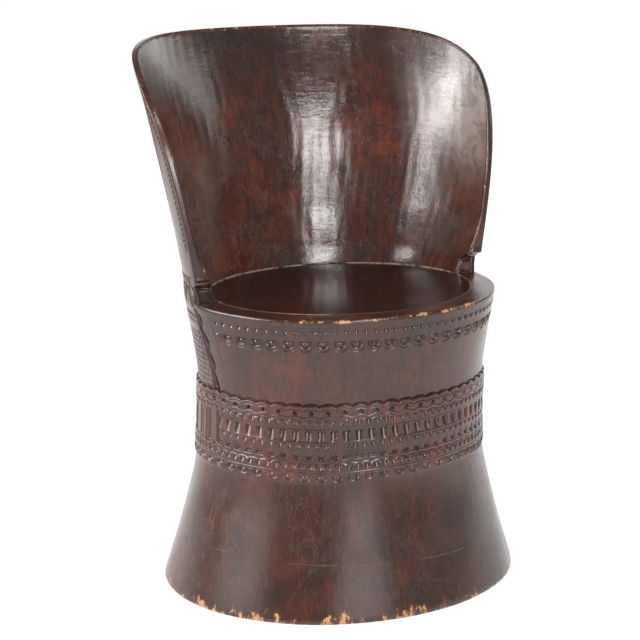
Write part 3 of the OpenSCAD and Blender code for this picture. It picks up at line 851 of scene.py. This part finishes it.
def front_rim(bm):
    """The rounded lip, the rim's flat top and the edge round the seat board."""
    lip_count, top_count = len(LIP_TURNS), len(EDGE_SECTION)
    hole_row = lip_count + top_count - 2

    def place(angle, k):
        k = k.astype(int)
        share = between(0, 5.5, from_arms(angle))
        dip = 2.9 * hill(angle, 236, 17) * share
        # the lip, from its foot up
        on_lip, lip_in = k < lip_count, LIP_IN * share
        turn = np.radians(LIP_TURNS[np.minimum(k, lip_count - 1)])
        lip_z = LIP_Z + LIP_H * np.sin(turn)
        lip_r = outer_r(angle, lip_z) - lip_in * (1 - np.cos(turn))
        # the flat top, from the outside in
        top = np.clip(k - lip_count + 1, 0, top_count - 1)
        w, grow = EDGE_SECTION[top, 0], EDGE_SECTION[top, 1]
        start, end = outer_r(angle, SEAT_Z + 0 * angle) - lip_in, HOLE_R + INNER_ROUND * share
        top_z = SEAT_Z - 0.35 * np.sin(np.pi * w) * share - dip * (1 - between(0, 0.8, w))
        r = np.where(on_lip, lip_r, start + (end - start) * w)
        z = np.where(on_lip, lip_z - dip * (lip_z - LIP_Z) / LIP_H, top_z)
        # the rounding into the hole
        at_hole, turn_in = k >= hole_row, np.radians(30 * np.clip(k - hole_row, 0, 3))
        r = np.where(at_hole, end - INNER_ROUND * share * np.sin(turn_in), r)
        z = np.where(at_hole, SEAT_Z - INNER_ROUND * (1 - np.cos(turn_in)), z)
        reach = 1 - between(0, 4.0, from_arms(angle))
        side = np.where(angle < 270, 1, -1)
        lip_wear = within(1, lip_count, 2.0, k) * share * 0.2 + 0.12 + rubbed(angle, z)
        return at_log(angle + side * ARM_TIP * grow * reach, z, r), lip_wear, 0.0

    lay(bm, FRONT_ANGLES, np.arange(lip_count + top_count + 2), place)


def back_shell(bm):
    """Outside and inside of the wrapping back."""
    lip_z = LIP_Z + LIP_H * np.sin(np.radians(LIP_TURNS[:-1]))
    low_z = SEAT_Z - INNER_ROUND * (1 - np.cos(np.radians([90, 60, 30])))

    def place(s, v, below):
        """Rows under the rim have their heights in a list, numbered -1, -2 and so on from the top down."""
        angle, z = back_place(s, np.maximum(v, 0))
        return angle, np.where(v < 0, below[np.clip(v.astype(int), -len(below), -1)], z)

    def outer(s, v):
        angle, z = place(s, v, lip_z)
        sunk = np.maximum(sunk_for_carving(angle, z), 2.4 * under_dots(s, np.maximum(v, 0)))
        # the last number paints shade where the log is sunk under the carvings and the dotted border
        return outside(angle, z, -sunk), 0.30 * near_edge(s, v, z), 0.4 * sunk

    def inner(s, v):
        angle, z = place(s, v, low_z)
        return at_log(angle, z, np.where(v < 0, HOLE_R, inner_r(angle, z))), 0.34 * near_edge(s, v, z), 0.0

    for below, side, material in ((lip_z, outer, 0), (low_z, inner, 2)):
        lay(bm, S_COLUMNS, np.concatenate([np.arange(-len(below), 0), V_ROWS]), side, material)


def arm_edge(bm):
    """The edge of the back: up one arm, over the top and down the other."""
    up_arm = [(1.0, v) for v in V_ROWS]
    over = [(s, 1.0) for s in S_COLUMNS[1:]]
    down_arm = [(-1.0, v) for v in V_ROWS[-2::-1]]
    path = np.array(up_arm + over + down_arm)

    def place(i, k):
        (s, v), k = path[i.astype(int)].T, k.astype(int)
        w, grow = EDGE_SECTION[k, 0], EDGE_SECTION[k, 1]
        flat_angle, flat_z = back_place(s, v)
        arm = between(0.9, 1.0, np.abs(s)) * (1 - between(0.5, 0.6, v))
        angle, z = back_place(s, v, grow + cuff(flat_z) * arm * np.sin(np.pi * w) ** 0.5 * (grow > 0))
        first, last = k == 0, k == len(EDGE_SECTION) - 1
        start = np.where(first, outer_r(flat_angle, flat_z), outer_r(angle, z))
        end = np.where(last, inner_r(flat_angle, flat_z), inner_r(angle, z))
        worn = 0.34 + 0.12 * hill(w, 0.92, 0.1) + 0.05 * hill(w, 0.04, 0.06)
        chafed = 0.34 * hill(w, 0.9, 0.16) * (s < 0) * (hill(z, 622, 16) + 0.8 * hill(z, 470, 10))
        chafed += 0.3 * (s > 0) * hill(w, 0.8, 0.3) * hill(z, 478, 9)
        worn = np.where(flat_z < CUFF_Z, 0.26, worn + chafed)
        # painted shade in the cuff's cuts, and a painted dark line along the outer corner of the arm's edge
        shade = 1.4 * hill(flat_z, CUFF_CUT_Z, 3.5) + 0.8 * hill(flat_z, CUFF_Z, 1.5)
        shade = arm * (shade + 2.0 * hill(w, 0.06, 0.06))
        return at_log(angle, z, start + (end - start) * w), worn, shade

    lay(bm, np.arange(len(path)), np.arange(len(EDGE_SECTION)), place)


def hollow_log(bm):
    """The hole for the seat board, the ledge under it, the gouged hollow and the sole of the foot."""
    ledge_r = SEAT_W / 2 - LEDGE_W
    down = [(SEAT_Z - INNER_ROUND, HOLE_R), (LEDGE_Z, HOLE_R), (LEDGE_Z, ledge_r), (LEDGE_LOW_Z, ledge_r)]
    down += [(z, float(through(HOLLOW, np.array(z)) / 2)) for z in np.linspace(HOLLOW_TOP_Z, 0, 22)]
    down = np.array(down)

    def hollow(angle, k):
        z, r = down[k.astype(int)].T
        turn = np.radians(angle)
        gouged = 0.9 * np.abs(np.sin(17 * turn + z / 60)) * np.sin(z / 11 + 3 * turn)
        return at_log(angle, z, r + gouged * within(20, 320, 18, z)), 0.0, 0.0

    def sole(angle, w):
        z = 0 * angle
        start = outer_r(angle, z) + FOOT_ROUND[0][1] - foot_chips(angle)
        return at_log(angle, z, start + (down[-1][1] - start) * w), 0.4, 0.0

    lay(bm, RING, np.arange(len(down)), hollow, 1)
    lay(bm, RING, np.linspace(0, 1, 4), sole, 1)


def trunk(outside_finish):
    """The log itself: foot, skirt, waist, rim, wrapping back and hollow."""
    bare = raw_wood("hollow_pine", tone(150, 112, 76), tone(104, 74, 50), (40, 40, 5))
    dark, warm, ember = tone(43, 20, 13), tone(76, 33, 19), tone(128, 60, 31)
    inside_finish = lacquer("back_lacquer", dark, warm, ember, (78, 78, 9), streaks=0.45, gloss=0.16,
                            lift=0.00046, inside=1.0)
    bm = bmesh.new()
    for part in (outer_wall, front_rim, back_shell, arm_edge, hollow_log):
        part(bm)
    body = piece(bm, "trunk_body", [outside_finish, bare, inside_finish])
    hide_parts("trunk")


def dotted_border(material):
    """A row of small round pits beside the edge of the back, up both arms and over the top."""
    middle = (DOTTED[0] + DOTTED[1]) / 2

    def outline(q, inset):
        """Places beside the edge. q goes from 0 to 1 up one arm, on to 2 over the top, and to 3 down."""
        s = 1 - 2 * np.clip(q - 1, 0, 1)
        return back_place(s, np.minimum(1, np.minimum(q, 3 - q)), 1 - inset / EDGE_IN)

    q = np.linspace(0.235, 2.765, 4000)
    line = outside(*outline(q, middle + 0 * q))
    lengths = np.concatenate([[0], np.cumsum(np.linalg.norm(np.diff(line, axis=0), axis=1))])
    whole = lengths[-1]
    steps = np.linspace(0, whole, int(whole / 0.75))

    def place(i, v):
        far = steps[i.astype(int)]
        hidden, low_side = under_strip(v)
        share = np.where(hidden, np.where(low_side, 0.2, 0.8), np.clip(v, 0, 1))
        inset = DOTTED[0] + (DOTTED[1] - DOTTED[0]) * share
        across = inset - middle
        pit = np.clip(1 - np.hypot(from_middle(far, DOT_PITCH) / DOT_R, across / DOT_R), 0, 1)
        relief = 0.35 - 2.9 * between(0, 0.6, pit) - 0.6 * hill(np.abs(across), 4.2, 0.7)
        face = between(0, 0.16, share) * (1 - between(0.84, 1, share))
        face = face * (between(0, 6, far) * (1 - between(whole - 6, whole, far)))
        relief = np.where(hidden, -5.0, relief * face - 1.2 * (1 - face))
        angle, z = outline(np.interp(far, lengths, q), inset)
        # the last number paints shade in the pits and at the strip's sunk edges
        return outside(angle, z, relief), 0.12, np.clip(-relief * 3, 0, 5)

    laid_piece("dotted_border", np.arange(len(steps)), strip_rows(19), place, material)


def ring_carving(name, turns, count, edges, pattern, material):
    """A closed carved band between two turns: its pattern outside, and a plain inside sunk in the log."""
    lengths, angles = turn_table()
    start, end = np.interp(turns, angles, lengths)
    columns = np.interp(np.linspace(start, end, count[0]), lengths, angles)
    rows = strip_rows(count[1])

    def place(angle, v):
        share = np.clip(v, 0, 1)
        z_low, z_high = edges(angle)
        hidden, low_side = under_strip(v)
        z = np.where(hidden, np.where(low_side, z_low + 3, z_high - 3), z_low + (z_high - z_low) * share)
        relief = pattern(angle, z)
        relief = relief - 3.5 * (1 - between(0, 0.012, share)) - 3.5 * between(0.988, 1, share)
        relief = np.where(hidden, -9.0, relief)
        under = hollows(np.clip(relief, -4, 4).reshape(len(rows), len(columns)))
        worn = rubbed(angle, z) + 0.3 * between(0.2, 0.9, -under)
        # painted shade in the hollows and the deep cuts
        shade = 1.7 * np.clip(under - 0.2, 0, 1.2) + 0.7 * np.clip(-1.0 - relief, 0, 2.4)
        return outside(angle, z, relief), worn, shade

    laid_piece(name, columns, rows, place, material)


def carvings(material):
    """The belt and the neck's carving, each in two strips, with their edges let into the log."""
    def belt_relief(angle, z):
        return belt_pattern(along_belt(angle), belt_share(angle, z), from_front(angle))

    def belt(angle):
        return belt_low(angle) - 2.2, belt_high(angle) + 2.5

    def neck(angle):
        return belt_high(angle) - 6.5, neck_high(from_front(angle))

    ring_carving("belt_front", (148, 336), (790, 118), belt, belt_relief, material)
    ring_carving("belt_behind", (336, 508), (560, 104), belt, belt_relief, material)
    ring_carving("neck_front", (148, 338), (700, 112), neck, neck_pattern, material)
    ring_carving("neck_behind", (338, 508), (480, 112), neck, neck_pattern, material)


def hollows(relief, reach=2):
    """How far each place lies under the mean height of its neighbours."""
    mean = relief
    for axis in (0, 1):
        mean = sum(np.roll(mean, k, axis) for k in range(-reach, reach + 1)) / (2 * reach + 1)
    return (mean - relief).ravel()


# Seat board and what holds it


def seat_board():
    """The oval board, hand-planed in slight waves, with its upper edge rounded."""
    dark, warm, ember = tone(29, 17, 14), tone(42, 21, 16), tone(60, 27, 19)
    finish = lacquer("seat_lacquer", dark, warm, ember, (11, 120, 120), streaks=0.5, gloss=0.15,
                     lift=0.00014)
    half, soft, top, sole = SEAT_W / 2, 1.3, SEAT_Z + 0.35, LEDGE_Z + 0.05
    turns = np.radians(np.linspace(0, 90, 6))
    section = [(r, top) for r in np.linspace(0, half - soft, 50)]
    section += [(half - soft + soft * math.sin(t), top - soft * (1 - math.cos(t))) for t in turns[1:]]
    section += [(half, SEAT_Z - 8), (half, LEDGE_Z + 2), (half - 1, sole)]
    section += [(r, sole) for r in np.linspace(half - 12, 0, 8)]
    section = np.array(section)

    def place(angle, k):
        r, z = section[k.astype(int)].T
        points = at_log(angle, z, r)
        planed = 0.10 * np.sin(points[:, 1] / 13 + 0.4 * np.sin(points[:, 0] / 50))
        planed += 0.14 * np.sin(points[:, 0] / 37 + points[:, 1] / 29)
        points[:, 2] += planed * (z > SEAT_Z) * (1 - between(half - 8, half - 2, r))
        return points, 0.2 * between(half - 2.6, half - 0.8, r) * (z > SEAT_Z - 3), 0.0

    rows = np.arange(len(section))
    board = laid_piece("seat_plank", np.linspace(0, 360, 241), rows, place, finish)
    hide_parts("seat_board")


def joint_line():
    """A pale line in the joint round the seat board, palest behind."""
    f = Finish("pale_joint_line")
    pale = f.painted("worn") * f.patches(0.36, 0.56, 70, 4, 0.6)
    f.colour = f.mix(pale, tone(40, 24, 18), tone(158, 140, 124))
    finish = f.end(0.6, f.noise(500, 2, 0.5), 0.0001)
    # half widths round the line's section, its heights at the low front, and what each gains behind
    inner, outer = SEAT_W / 2 - 1.2, HOLE_R + 0.7
    widths = np.array([inner, inner + 0.7, HOLE_R - 0.5, HOLE_R + 0.1, outer, outer, inner, inner])
    heights = np.array([0.26, 0.42, 0.40, 0.2, 0.1, -1.4, -1.4, 0.26])
    gains = np.array([0, 0, 0.5, 1, 1, 0, 0, 0])

    def place(angle, k):
        k = k.astype(int)
        behind = between(-0.12, 0.02, np.sin(np.radians(angle)))
        paleness = behind + hill(angle, 231, 14) + (hill(angle, 344, 14) + hill(angle, -16, 14))
        z = SEAT_Z + (heights[k] + gains[k] * (0.1 + 1.5 * behind))
        return at_log(angle, z, widths[k]), np.clip(paleness, 0.12, 1), 0.0

    rows = np.arange(len(widths))
    laid_piece("pale_joint_line", np.linspace(0, 360, 361), rows, place, finish)


def battens():
    """Two battens with worn edges, and finishes for the pegs and nails."""
    finish = raw_wood("batten_pine", tone(176, 138, 96), tone(140, 102, 66), (60, 5, 60))
    for node in ("batten_left", "batten_right"):
        low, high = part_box(node)
        bm = bmesh.new()
        bmesh.ops.create_cube(bm, size=1.0)
        bmesh.ops.scale(bm, vec=high - low, verts=bm.verts)
        bmesh.ops.translate(bm, vec=(low + high) / 2, verts=bm.verts)
        under = [e for e in bm.edges if all(v.co.z < low.z + MM for v in e.verts)]
        bmesh.ops.bevel(bm, geom=under, offset=3 * MM, offset_type="OFFSET", segments=3, profile=0.5,
                        affect="EDGES", material=-1)
        bmesh.ops.bevel(bm, geom=list(bm.edges), offset=0.4 * MM, offset_type="OFFSET", segments=1,
                        profile=0.5, affect="EDGES", material=-1)
        plank = piece(bm, "plank_" + node, [finish], smooth=False)
        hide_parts(node)
    birch = raw_wood("peg_birch", tone(128, 92, 62), tone(92, 62, 42), (90, 90, 10))
    for node, material in (("seat_pegs", birch), ("batten_nails", iron("nail_iron"))):
        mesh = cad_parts[node].data
        mesh.materials.clear()
        mesh.materials.append(material)


# Floor, light and world


def studio_floor():
    """A white floor that keeps a faint shadow, and shines pale in the lacquer."""
    f = Finish("studio_floor")
    rays = f.add("ShaderNodeLightPath").outputs
    white = f.add("ShaderNodeEmission", {}, {"Color": (1, 1, 1, 1), "Strength": 1.12})
    across, away, _ = f.parts()
    far = f.between(5.0, 12.0, across * across + away * away)
    pale = f.add("ShaderNodeEmission", {}, {"Color": f.mix(far, (1.3, 1.3, 1.3, 1), (0.3, 0.3, 0.3, 1))})
    matt = f.add("ShaderNodeBsdfDiffuse", {}, {"Color": (0.82, 0.82, 0.82, 1)})
    seen = Amount(f, rays["Is Camera Ray"]) * 0.86 + Amount(f, rays["Is Transmission Ray"])
    shade = f.add("ShaderNodeMixShader", {}, {0: seen, 1: matt.outputs[0], 2: white.outputs[0]})
    glossy = rays["Is Glossy Ray"]
    mirrored = f.add("ShaderNodeMixShader", {}, {0: glossy, 1: shade.outputs[0], 2: pale.outputs[0]})
    f.add("ShaderNodeOutputMaterial", {}, {"Surface": mirrored.outputs[0]})
    bm = bmesh.new()
    bmesh.ops.create_grid(bm, x_segments=2, y_segments=2, size=20.0)
    floor = as_object(bm, "studio_floor", [f.material], smooth=False)


def studio_world():
    """A dim room, seen as plain white by the camera."""
    f = Finish("studio_world", "worlds")
    rays = f.add("ShaderNodeLightPath").outputs
    seen = Amount(f, rays["Is Camera Ray"])
    seen = seen.worked("MAXIMUM", seen, Amount(f, rays["Is Transmission Ray"]))
    dim, bright = (f.add("ShaderNodeBackground", {}, {"Color": (1, 1, 1, 1), "Strength": strength})
                   for strength in (0.3, 1.05))
    room = f.add("ShaderNodeMixShader", {}, {0: seen, 1: dim.outputs[0], 2: bright.outputs[0]})
    f.add("ShaderNodeOutputWorld", {}, {"Surface": room.outputs[0]})
    bpy.context.scene.world = f.material


# Softboxes: degrees to the right of the camera, lower and upper edge and half width in degrees as the
# chair sees them, and how bright they look
SOFTBOXES = {
    "key_high": (28, 14, 26, 8.5, 15.0),
    "key_low": (26, 6, 14, 9, 5.0),
    "key_skirt": (24, -6, 6, 13.5, 1.4),
    "key_top": (29, 47, 53, 8, 20.0),
    "left_box": (-60, 16, 26, 19, 17.0),
    "left_far": (-94, 12, 28, 14, 9.0),
    "left_wall": (-72, 5, 15, 24, 3.6),
    "left_skirt": (-57, -6, 5, 18, 1.2),
    "left_top": (-75, 37, 50, 12, 4.5),
    "white_sweep": (180, -6, 30, 42, 0.9),
    "right_far": (118, 8, 26, 26, 2.0),
}
BOX_DISTANCE, BOX_AIM = 4.0, Vector((0, 0, 0.5))


def softboxes():
    """Area lamps round the chair, each facing it from the same distance."""
    toward = Vector((-math.sin(VIEW_AZIMUTH), -math.cos(VIEW_AZIMUTH), 0))
    right = Vector((math.cos(VIEW_AZIMUTH), -math.sin(VIEW_AZIMUTH), 0))
    for name, (turn, low, high, half_turn, bright) in SOFTBOXES.items():
        t, up = math.radians(turn), math.radians((low + high) / 2)
        level = toward * math.cos(t) + right * math.sin(t)
        way = level * math.cos(up) + Vector((0, 0, math.sin(up)))
        data = bpy.data.lights.new(name, "AREA")
        data.shape = "RECTANGLE"
        data.size = 2 * BOX_DISTANCE * math.tan(math.radians(half_turn))
        data.size_y = 2 * BOX_DISTANCE * math.tan(math.radians((high - low) / 2))
        data.energy = bright * math.pi * data.size * data.size_y
        lamp = put_in_scene(name, data)
        lamp.location = BOX_AIM + way * BOX_DISTANCE
        lamp.rotation_euler = way.to_track_quat("Z", "Y").to_euler()
        lamp.visible_camera = False


set_camera()
log_lacquer = lacquer("log_lacquer", BROWN, RUST, EMBER, (64, 64, 6))
trunk(log_lacquer)
carvings(log_lacquer)
dotted_border(log_lacquer)
seat_board()
joint_line()
battens()
studio_floor()
studio_world()
softboxes()
bpy.context.scene.view_settings.view_transform = "Standard"
